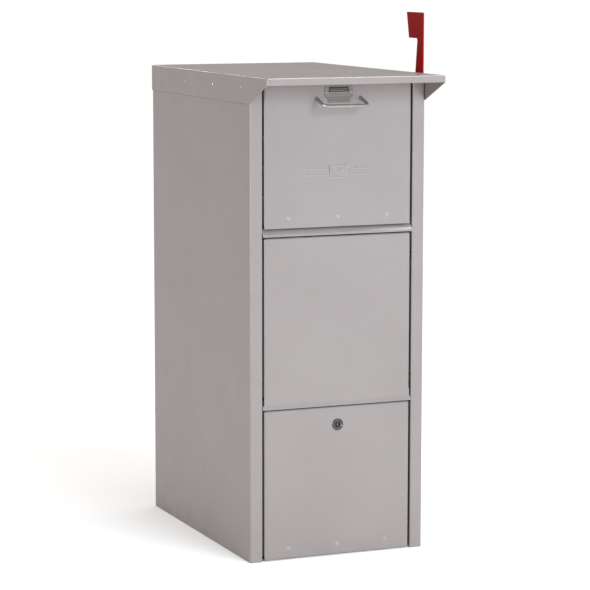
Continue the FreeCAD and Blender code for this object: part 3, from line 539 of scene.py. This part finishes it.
def rivet_metal():
    """Satin aluminium with painted shade round its foot and in its dimple, which leaves its crown the
    lightest part.
    """
    material, place = open_finish("rivet_aluminium")
    cloud = place.noise(400.0, 3.0)
    colour = mixed(cloud.step(0.3, 0.75), (0.36, 0.35, 0.345, 1), (0.44, 0.43, 0.425, 1))
    # Painted shade round the foot and in the dimple.
    colour = mixed(place.crease_shade(1.5 * mm) * 0.8, colour, (0.12, 0.115, 0.11, 1))
    close_finish(place, {"Metallic": 0.35}, colour, 0.50 + 0.14 * cloud, place.noise(1500.0, 2.0), 0.00002)
    return material


aluminium = rivet_metal()
dome_rise = 0.42
dome_r = (1.0 + dome_rise ** 2) / (2 * dome_rise)
foot = 0.05
dimple_edge = dome_rise - 0.03
dimple_depth = 0.08
bpy.ops.mesh.primitive_uv_sphere_add(segments=32, ring_count=48, radius=dome_r,
                                     location=(0, 0, dome_rise - dome_r))
head = named("rivet_head")
bpy.ops.object.mode_set(mode="EDIT")
bpy.ops.mesh.select_all(action="SELECT")
bpy.ops.mesh.bisect(plane_co=(0, 0, 0), plane_no=(0, 0, 1), clear_inner=True)
pick("EDGE", lambda m, d: m.z < 1e-4)
bpy.ops.mesh.extrude_region_move(TRANSFORM_OT_translate={"value": (0, 0, -foot)})
bpy.ops.mesh.edge_face_add()
pick("FACE", lambda m, n: m.z > dimple_edge)
bpy.ops.mesh.extrude_region_move(TRANSFORM_OT_translate={"value": (0, 0, -dimple_depth)})
bpy.ops.transform.resize(value=(0.8, 0.8, 0.4))
bpy.ops.object.mode_set(mode="OBJECT")
bpy.ops.object.shade_smooth_by_angle(angle=math.radians(40.0))


def rivet_row(name, node, body, radius, axis, places, finish=aluminium, slot="aluminium_rivets"):
    """Copies of the head, which is 1 in radius, on one node's rivets; axis is the way they face."""
    turn = {"-x": (0, -math.pi / 2, 0), "+x": (0, math.pi / 2, 0), "-y": (math.pi / 2, 0, 0),
            "+y": (-math.pi / 2, 0, 0), "+z": (0, 0, 0)}[axis]
    row = []
    for place in places:
        copy = bpy.data.objects.new(name, head.data.copy())
        bpy.context.scene.collection.objects.link(copy)
        copy.location = place
        copy.rotation_euler = turn
        copy.scale = (radius, radius, radius)
        row.append(copy)
    bpy.ops.object.select_all(action="DESELECT")
    for copy in row:
        copy.select_set(True)
    bpy.context.view_layer.objects.active = row[0]
    bpy.ops.object.join()
    bpy.ops.object.transform_apply(location=True, rotation=True, scale=True)
    fit(row[0], finish, body, slot, node)


def spread(first, last, count):
    """Evenly spaced values from first to last."""
    return [first + (last - first) * i / (count - 1) for i in range(count)]


lo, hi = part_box("roof_rivets_right")
roof_r = 4.2 * mm
roof_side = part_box("roof_hood")[1].x
for side, name, axis in ((1, "right", "+x"), (-1, "left", "-x")):
    places = [(side * roof_side, y, (lo.z + hi.z) / 2) for y in spread(lo.y + roof_r, hi.y - roof_r, 4)]
    rivet_row("roof_rivet_row_" + name, "roof_rivets_" + name, "cabinet", roof_r, axis, places,
              grey, "silver_coat")
for name, body in (("top_door_rivets", "drop_door"), ("bottom_door_rivets", "collection_door")):
    lo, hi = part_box(name)
    places = [(x, front, (lo.z + hi.z) / 2) for x in spread(lo.x + roof_r, hi.x - roof_r, 3)]
    rivet_row(name + "_row", name, body, roof_r, "-y", places)
lo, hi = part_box("back_rivets")
back_r = 3.4 * mm
heights = spread(lo.z + back_r, hi.z - back_r, 5)
places = [(x, back, z) for x in (lo.x + back_r, hi.x - back_r) for z in heights]
rivet_row("back_rivet_rows", "back_rivets", "cabinet", back_r, "+y", places)
lo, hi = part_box("badge_rivets")
badge_r = 2.6 * mm
plate_thick = 1.0 * mm
places = [(x, front - plate_thick, (lo.z + hi.z) / 2) for x in (lo.x + badge_r, hi.x - badge_r)]
rivet_row("badge_rivet_pair", "badge_rivets", "drop_door", badge_r, "-y", places)
bpy.data.objects.remove(head)
for node, body in (("top_leaf_rivets", "cabinet"), ("bottom_leaf_rivets", "cabinet"),
                   ("hopper_rivets", "drop_door"), ("flag_spacer", "cabinet")):
    fit(smoothed(node + "_smooth", node, 0.15 * mm), aluminium, body, "aluminium_rivets", node)


# ---- Cam lock ----
# A chrome plated zinc lock: a domed collar with a turned recess, and a plug
# with its keyway set into it. The cam behind it is with the hardware above.

def bright_chrome():
    """Bright chrome, its colour darkened as a painted dark reflection, with faint smudges, a painted
    highlight on its edges and painted shade in its recess.
    """
    material, place = open_finish("bright_chrome")
    smudge = place.noise(180.0, 4.0, 0.6)
    edge = place.edge_mask(0.4 * mm)
    # Dark colour: a painted dark reflection on what is bright chrome.
    colour = mixed(smudge.step(0.35, 0.7), (0.085, 0.082, 0.082, 1), (0.130, 0.127, 0.126, 1))
    # Painted highlight on the edges.
    colour = mixed(edge * 0.25, colour, (0.45, 0.44, 0.44, 1))
    # Painted shade in the recess and where the collar meets the door.
    colour = mixed(place.crease_shade(4.0 * mm) * 0.85, colour, (0.015, 0.015, 0.015, 1))
    roughness = 0.16 + 0.10 * smudge.step(0.45, 0.8)
    close_finish(place, {"Metallic": 1.0}, colour, roughness, place.noise(900.0, 1.0), 0.00001)
    return material


def lock_steel():
    """The plug's nickel, rubbed by keys, darkened as a painted dark reflection, with a painted highlight on
    its edges.
    """
    material, place = open_finish("lock_plug_nickel")
    rubbed = place.drawn(1.0, 1.0, 0.25).noise(1600.0, 3.0)
    edge = place.edge_mask(0.4 * mm)
    # Dark colour: a painted dark reflection on what is bright nickel.
    colour = mixed(rubbed.step(0.3, 0.8), (0.030, 0.029, 0.028, 1), (0.080, 0.078, 0.075, 1))
    # Painted highlight on the plug's edges.
    colour = mixed(edge * 0.35, colour, (0.50, 0.49, 0.48, 1))
    close_finish(place, {"Metallic": 1.0}, colour, 0.24 + 0.2 * rubbed, rubbed, 0.00003)
    return material


chrome = bright_chrome()
lo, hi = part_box("lock_housing")
lock_height = (lo.z + hi.z) / 2
collar_r = 12.0 * mm
collar_round = 2.4 * mm
rim, ledge, bore_ring = 1.1 * mm, 0.5 * mm, 1.95 * mm
recess = 0.9 * mm
barrel_step = 2.6 * mm
barrel_end = hi.y
lock_edge = 0.12 * mm
to_front = (math.pi / 2, 0, 0)
bpy.ops.object.select_all(action="DESELECT")
bpy.ops.mesh.primitive_cylinder_add(vertices=96, radius=collar_r, depth=front - lo.y, rotation=to_front,
                                    location=(0, (front + lo.y) / 2, lock_height))
housing = named("lock_collar")
pick("FACE", lambda m, n: n.y < -0.9)
bpy.ops.mesh.bevel(offset=collar_round, segments=8, affect="EDGES")
pick("FACE", lambda m, n: n.y < -0.999)
bpy.ops.mesh.inset(thickness=rim)
bpy.ops.mesh.inset(thickness=ledge, depth=-recess)
bpy.ops.mesh.inset(thickness=bore_ring)
bpy.ops.mesh.extrude_region_move(TRANSFORM_OT_translate={"value": (0, barrel_end - lo.y - recess, 0)})
pick("FACE", lambda m, n: n.y > 0.9 and abs(m.y - front) < near)
bpy.ops.mesh.inset(thickness=barrel_step)
bpy.ops.mesh.extrude_region_move(TRANSFORM_OT_translate={"value": (0, barrel_end - front, 0)})
pick("FACE", lambda m, n: abs(n.y) > 0.9 and abs(m.y - barrel_end) < near)
bpy.ops.mesh.delete(type="FACE")
pick("EDGE", lambda m, d: abs(m.y - barrel_end) < near)
bpy.ops.mesh.bridge_edge_loops()
soften(housing, lock_edge, 30.0)
fit(housing, chrome, "collection_door", "bright_chrome", "lock_housing")

plug_r = 5.95 * mm
plug_face = front - 1.5 * mm
plug_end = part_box("lock_cam")[0].y
keyway = (2.0 * mm, 9.0 * mm, 7.4 * mm)
square = 5.0 * mm
bpy.ops.mesh.primitive_cylinder_add(vertices=64, radius=plug_r, depth=plug_end - plug_face, rotation=to_front,
                                    location=(0, (plug_face + plug_end) / 2, lock_height))
plug = named("lock_plug_core")
pick("FACE", lambda m, n: n.y < -0.9)
bpy.ops.mesh.inset(thickness=0.9 * mm, depth=0.3 * mm)
bpy.ops.mesh.inset(thickness=0.5 * mm, depth=-0.5 * mm)
bpy.ops.object.mode_set(mode="OBJECT")
bpy.ops.mesh.primitive_cube_add(size=1, location=(0, front, lock_height), scale=keyway)
joined_by("DIFFERENCE", plug, named("keyway_cut"))
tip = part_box("lock_plug")[1].y - plug_end
bpy.ops.mesh.primitive_cube_add(size=1, location=(0, plug_end + tip / 2 - 0.5 * mm, lock_height),
                                scale=(square, tip + mm, square))
joined_by("UNION", plug, named("square_tip"))
soften(plug, lock_edge, 30.0)
fit(plug, lock_steel(), "lock_core", "bright_chrome", "lock_plug")


# ---- Pull handle ----
# A bow of nickel plated round wire. Its threaded ends pass through the door,
# and its legs slope down so that fingers fit behind the bar.

def nickel_wire():
    """Satin nickel with draw lines along the bar and faint handling marks."""
    material, place = open_finish("nickel_wire")
    draw = place.drawn(0.04, 1.0, 1.0).noise(2200.0, 2.0)
    rubbed = place.noise(90.0, 4.0, 0.6)
    colour = mixed(rubbed.step(0.3, 0.75), (0.33, 0.315, 0.305, 1), (0.43, 0.415, 0.405, 1))
    close_finish(place, {"Metallic": 0.7}, colour, 0.34 + 0.14 * rubbed, draw, 0.00002)
    return material


wire_r = 3.5 * mm
from_middle = 48.0 * mm
reach, drop = 40.0 * mm, 13.0 * mm
length = math.hypot(reach, drop)
slope = (0.0, -reach / length, -drop / length)
corner = 11.0 * mm
foot_z = 931.5 * mm
sink = 1.5 * mm
leg = length - corner + sink
bpy.ops.object.select_all(action="DESELECT")
bpy.ops.mesh.primitive_circle_add(vertices=28, radius=wire_r, fill_type="NGON",
                                  rotation=(math.atan2(reach, -drop), 0, 0),
                                  location=(from_middle, front - slope[1] * sink, foot_z - slope[2] * sink))
handle = named("pull_handle_wire")
bpy.ops.object.mode_set(mode="EDIT")
bpy.ops.mesh.select_all(action="SELECT")
bpy.ops.mesh.extrude_region_move(TRANSFORM_OT_translate={"value": [leg * s for s in slope]})
bend_y = front + slope[1] * (length - corner)
bend_z = foot_z + slope[2] * (length - corner)
spin_axis = (0, slope[2], -slope[1])
bpy.ops.mesh.spin(steps=10, angle=math.pi / 2, center=(from_middle - corner, bend_y, bend_z), axis=spin_axis)
bpy.ops.mesh.extrude_region_move(TRANSFORM_OT_translate={"value": (-2 * (from_middle - corner), 0, 0)})
bpy.ops.mesh.spin(steps=10, angle=math.pi / 2, center=(corner - from_middle, bend_y, bend_z), axis=spin_axis)
bpy.ops.mesh.extrude_region_move(TRANSFORM_OT_translate={"value": [-leg * s for s in slope]})
bpy.ops.mesh.select_all(action="SELECT")
bpy.ops.mesh.remove_doubles(threshold=0.000005)
bpy.ops.mesh.normals_make_consistent(inside=False)
bpy.ops.object.mode_set(mode="OBJECT")
bpy.ops.object.shade_smooth_by_angle(angle=math.radians(50.0))
fit(handle, nickel_wire(), "drop_door", "nickel_wire", "pull_handle")


# ---- Badge plate ----
# A small blank plate of brushed metal with a raised rim and a ribbed field,
# riveted above the handle, with a thin lower tab.

def brushed_badge(enamel_low):
    """Brushed plate: fine lines across, a bright rim, dark enamel in its hollows from a height up, and
    painted shade in its hollows and under the plate.
    """
    material, place = open_finish("badge_brushed")
    lines = place.drawn(0.03, 1.0, 1.0).noise(1500.0, 3.0, 0.6)
    edge = place.edge_mask(0.5 * mm)
    colour = mixed(lines.step(0.3, 0.75), (0.22, 0.195, 0.185, 1), (0.31, 0.285, 0.275, 1))
    colour = mixed(edge * 0.5, colour, (0.52, 0.51, 0.50, 1))
    across = place.part("X")
    height = place.part("Z")
    enamel = place.part("Y").step(front - 0.85 * mm, front - 0.72 * mm)
    enamel = enamel * height.step(enamel_low, enamel_low + 1.0 * mm)
    enamel = enamel * (1.0 - across.sum("ABSOLUTE", across).step(21.0 * mm, 22.0 * mm))
    colour = mixed(enamel * 0.9, colour, (0.03, 0.03, 0.03, 1))
    # Painted shade in the hollows and in the line under the plate.
    colour = mixed(place.crease_shade(2.5 * mm) * 0.8, colour, (0.04, 0.04, 0.04, 1))
    close_finish(place, {"Metallic": 0.7}, colour, 0.36 + 0.14 * lines, lines, 0.00003)
    return material


lo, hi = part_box("badge_plate")
plate_tall = 24.0 * mm
plate_low = hi.z - plate_tall
plate_corner = 6.0 * mm
enamel_from = plate_low + 11.0 * mm
rib_size = (38.0 * mm, 0.5 * mm, 1.3 * mm)
rib_first, rib_gap = 6.0 * mm, 3.0 * mm
rib_y = front - 0.7 * mm
tab_wide, tab_thick = 49.0 * mm, 0.6 * mm
bpy.ops.object.select_all(action="DESELECT")
bpy.ops.mesh.primitive_cube_add(size=1, location=(0, front - plate_thick / 2, (plate_low + hi.z) / 2),
                                scale=(hi.x - lo.x, plate_thick, plate_tall))
badge = named("badge_blank")
pick("EDGE", lambda m, d: abs(d.y) > 0.5 * mm)
bpy.ops.mesh.bevel(offset=plate_corner, segments=8, affect="EDGES")
pick("FACE", lambda m, n: n.y < -0.9)
bpy.ops.mesh.inset(thickness=1.2 * mm)
bpy.ops.mesh.inset(thickness=0.4 * mm, depth=-0.35 * mm)
bpy.ops.object.mode_set(mode="OBJECT")
soften(badge, 0.15 * mm, 30.0)
ribs = []
for i in range(5):
    rib_z = plate_low + rib_first + i * rib_gap
    bpy.ops.object.select_all(action="DESELECT")
    bpy.ops.mesh.primitive_cube_add(size=1, location=(0, rib_y, rib_z), scale=rib_size)
    ribs.append(named("badge_rib"))
    soften(ribs[-1], 0.2 * mm, 30.0)
bpy.ops.object.select_all(action="DESELECT")
bpy.ops.mesh.primitive_cube_add(size=1, location=(0, front - tab_thick / 2, (lo.z + plate_low + mm) / 2),
                                scale=(tab_wide, tab_thick, plate_low + mm - lo.z))
tab = named("badge_tab")
soften(tab, 0.2 * mm, 30.0)
for piece in ribs + [tab, badge]:
    piece.select_set(True)
bpy.context.view_layer.objects.active = badge
bpy.ops.object.join()
fit(badge, brushed_badge(enamel_from), "drop_door", "badge_metal", "badge_plate")


# ---- Roof hood ----
# One folded sheet: a flat top that overhangs the doors, side and rear flanges
# riveted to the cabinet, a short front lip, and flanges that taper to it.

lo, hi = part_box("roof_hood")
eave = 92.0 * mm
lip_drop = 14.0 * mm
roof_fold = 3.0 * mm
roof_sheet = 1.5 * mm
bpy.ops.object.select_all(action="DESELECT")
bpy.ops.mesh.primitive_cube_add(size=1, location=[(a + b) / 2 for a, b in zip(lo, hi)], scale=hi - lo)
roof = named("roof_hood_sheet")
pick("FACE", lambda m, n: n.z < -0.9)
bpy.ops.mesh.delete(type="FACE")
bpy.ops.mesh.select_all(action="SELECT")
fall = (hi.z - lo.z - lip_drop, eave)
bpy.ops.mesh.bisect(plane_co=(0, front, lo.z), plane_no=(0, -fall[0], -fall[1]), clear_outer=True)
pick("EDGE", lambda m, d: m.z > hi.z - near or (abs(d.z) > 1e-3 and abs(d.y) < near and abs(d.x) < near))
bpy.ops.mesh.bevel(offset=roof_fold, segments=6, affect="EDGES")
thicken(roof, roof_sheet, -1)
soften(roof, sheet_edge)
fit(roof, grey, "cabinet", "silver_coat", "roof_hood")


# ---- Signal flag ----
# Red powder coated plate on the right side: a head, a tapering arm and a tail
# that turns on a bolt in a nylon bush.

def red_powder_coat():
    """Satin deep red coat, paler on rubbed edges, a little faded at the head."""
    material, place = open_finish("red_powder_coat")
    cloud = place.noise(26.0, 3.0)
    peel = place.noise(700.0, 2.0, 0.45)
    edge = place.edge_mask(0.9 * mm)
    faded = place.part("Z").step(0.98, 1.10)
    colour = mixed(cloud.step(0.3, 0.7), (0.300, 0.002, 0.002, 1), (0.345, 0.003, 0.003, 1))
    colour = mixed(faded * 0.25, colour, (0.37, 0.006, 0.006, 1))
    colour = mixed(edge * 0.35, colour, (0.36, 0.03, 0.025, 1))
    close_finish(place, {"Specular IOR Level": 0.05}, colour, 0.42 + 0.08 * cloud, peel, 0.00004)
    return material


lo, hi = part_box("signal_flag")
flag_front = front + 26.0 * mm
tail_back = front + 62.0 * mm
shoulder = 960.0 * mm
head_low = 1046.5 * mm
neck_wide, head_wide = 25.5 * mm, 28.0 * mm
neck_drop = 4.0 * mm
pennant = 37.0 * mm
rake = 11.0 * mm
bpy.ops.object.select_all(action="DESELECT")
bpy.ops.mesh.primitive_plane_add(size=1, rotation=(0, math.pi / 2, 0),
                                 location=(lo.x, flag_front + head_wide / 2, (head_low + hi.z) / 2))
flag = named("flag_plate")
pick("FACE", lambda m, n: True)
bpy.ops.transform.resize(value=(1, head_wide, hi.z - head_low))
pick("EDGE", lambda m, d: m.y > flag_front + head_wide - near)
bpy.ops.mesh.extrude_region_move(TRANSFORM_OT_translate={"value": (0, pennant, 0)})
head_back = flag_front + head_wide + pennant
pick("VERT", lambda m, n: m.y > head_back - near and m.z > hi.z - near)
bpy.ops.transform.translate(value=(0, rake, 0))
pick("EDGE", lambda m, d: m.z < head_low + near and m.y < flag_front + head_wide)
neck_shift = (neck_wide - head_wide) / 2
bpy.ops.mesh.extrude_region_move(TRANSFORM_OT_translate={"value": (0, neck_shift, -neck_drop)})
bpy.ops.transform.resize(value=(1, neck_wide / head_wide, 1))
arm_shift = (tail_back - flag_front - neck_wide) / 2
arm_drop = shoulder - (head_low - neck_drop)
bpy.ops.mesh.extrude_region_move(TRANSFORM_OT_translate={"value": (0, arm_shift, arm_drop)})
bpy.ops.transform.resize(value=(1, (tail_back - flag_front) / neck_wide, 1))
bpy.ops.mesh.extrude_region_move(TRANSFORM_OT_translate={"value": (0, 0, lo.z - shoulder)})
for radius, at_y, at_z in (
    (12.0 * mm, flag_front, lo.z),
    (3.0 * mm, tail_back, lo.z),
    (2.0 * mm, flag_front, hi.z),
    (2.0 * mm, head_back + rake, hi.z),
    (2.0 * mm, head_back, head_low),
):
    pick("VERT", lambda m, n: abs(m.y - at_y) < near and abs(m.z - at_z) < near)
    bpy.ops.mesh.bevel(offset=radius, segments=6, affect="VERTICES")
thicken(flag, hi.x - lo.x, 1)
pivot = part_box("flag_bush")
pivot_middle = [(a + b) / 2 for a, b in zip(*pivot)]
bpy.ops.mesh.primitive_cylinder_add(vertices=48, radius=(pivot[1].z - pivot[0].z) / 2, depth=20 * mm,
                                    rotation=(0, math.pi / 2, 0), location=pivot_middle)
joined_by("DIFFERENCE", flag, named("pivot_hole"))
soften(flag, 0.8 * mm)
fit(flag, red_powder_coat(), "flag", "red_coat", "signal_flag")


# ---- Bush and bumpers ----
# The flag's bush is natural nylon. The shut doors rest on small black rubber
# bumpers on the header and the strike bar, and the middle panel on rubber spacers.

def natural_nylon():
    """Milky off-white nylon, faintly clouded."""
    material, place = open_finish("natural_nylon")
    cloud = place.noise(240.0, 3.0)
    colour = mixed(cloud, (0.66, 0.64, 0.57, 1), (0.78, 0.76, 0.70, 1))
    milky = {"Subsurface Weight": 0.1, "Subsurface Scale": 0.002}
    close_finish(place, milky, colour, 0.42 + 0.12 * cloud, cloud, 0.00003)
    return material


def black_rubber():
    """Matt black rubber with a grey bloom."""
    material, place = open_finish("black_rubber")
    bloom = place.noise(160.0, 4.0, 0.6)
    colour = mixed(bloom.step(0.35, 0.75), (0.016, 0.016, 0.017, 1), (0.045, 0.044, 0.042, 1))
    close_finish(place, {}, colour, 0.62 + 0.2 * bloom, place.noise(900.0), 0.00004)
    return material


fit(smoothed("flag_bush_nylon", "flag_bush", 0.15 * mm), natural_nylon(), "flag", "nylon", "flag_bush")
rubber = black_rubber()
# The spacers are rubber, and their black also stands in for the shade in the gap round the middle panel, as
# painted shade.
for node in ("top_door_bumpers", "bottom_door_bumpers", "middle_panel_spacers"):
    fit(smoothed(node + "_rubber", node, 0.1 * mm), rubber, "cabinet", "black_rubber", node)


# ---- Floor, lights and camera ----
# A plain pale floor under soft studio light: a large cool box to the front, a
# wide soft light overhead, and three narrow strips that draw the folds' edges.

bpy.ops.mesh.primitive_circle_add(vertices=96, radius=90.0, fill_type="NGON", location=(0, 0, 0))
floor = named("studio_floor")
pale, place = open_finish("pale_floor")
grain = place.noise(30.0, 2.0)
close_finish(place, {"Specular IOR Level": 0.0, "Emission Color": (1, 1, 1, 1), "Emission Strength": 0.17},
             mixed(grain, (0.92, 0.92, 0.92, 1), (0.93, 0.93, 0.93, 1)), 1.0, grain, 0.0)
floor.data.materials.append(pale)

world = bpy.data.worlds.new("studio")
bpy.context.scene.world = world
world.use_nodes = True
world.node_tree.nodes.clear()
sky = Reading(world.node_tree, None)
seen = sky.node("ShaderNodeLightPath", None, None, "Is Camera Ray")
soft_light = sky.node("ShaderNodeBackground", None, {"Color": (1.0, 0.975, 0.965, 1), "Strength": 0.49})
white = sky.node("ShaderNodeBackground", None, {"Color": (1, 1, 1, 1), "Strength": 1.1})
both = sky.node("ShaderNodeMixShader", None, {0: seen, 1: soft_light, 2: white})
sky.node("ShaderNodeOutputWorld", None, {"Surface": both})


def lamp(name, kind, place, aim, power, colour, size=(1.0, 1.0)):
    """A soft light turned to its aim."""
    light = bpy.data.lights.new(name, kind)
    light.energy = power
    light.color = colour
    if kind == "AREA":
        light.shape = "RECTANGLE"
        light.size, light.size_y = size
    else:
        light.angle = math.radians(size[0])
    holder = bpy.data.objects.new(name, light)
    bpy.context.scene.collection.objects.link(holder)
    holder.location = place
    holder.visible_camera = False
    away = [a - b for a, b in zip(place, aim)]
    holder.rotation_euler = (math.atan2(math.hypot(away[0], away[1]), away[2]), 0,
                             math.atan2(away[1], away[0]) + math.pi / 2)
    return holder


front_box = lamp("front_box", "AREA", (1.2, -5.2, 2.2), (0, -0.2, 0.5), 252, (0.82, 0.92, 1.0), (2.6, 2.6))
front_box.visible_glossy = False
lamp("overhead", "SUN", (0.4, -0.3, 4.0), (0, 0, 0), 1.42, (1.0, 0.97, 0.94), (70.0, 0))
for name, place, aim, power, colour, size in (
    ("left_strip", (-3.1, -1.15, 0.5), (0, -0.25, 0.45), 130, (1.0, 1.0, 1.0), (0.5, 3.0)),
    ("rear_strip", (-0.4, 3.6, 2.5), (-0.2, -0.1, 0.98), 18, (1.0, 0.98, 0.97), (0.8, 0.6)),
    ("top_strip", (0.9, -0.5, 3.2), (0, -0.37, 0.98), 62, (1.0, 1.0, 1.0), (1.6, 0.7)),
):
    lamp(name, "AREA", place, aim, power, colour, size).visible_diffuse = False

camera = bpy.data.objects.new("camera", bpy.data.cameras.new("camera"))
bpy.context.scene.collection.objects.link(camera)
camera.location = (-1.9714, -4.7533, 1.2072)
camera.rotation_euler = (math.radians(82.169), math.radians(-0.066), math.radians(-22.786))
camera.data.lens = 149.34
camera.data.sensor_width = 36.0
camera.data.clip_end = 300.0
bpy.context.scene.camera = camera
bpy.context.scene.view_settings.view_transform = "Standard"
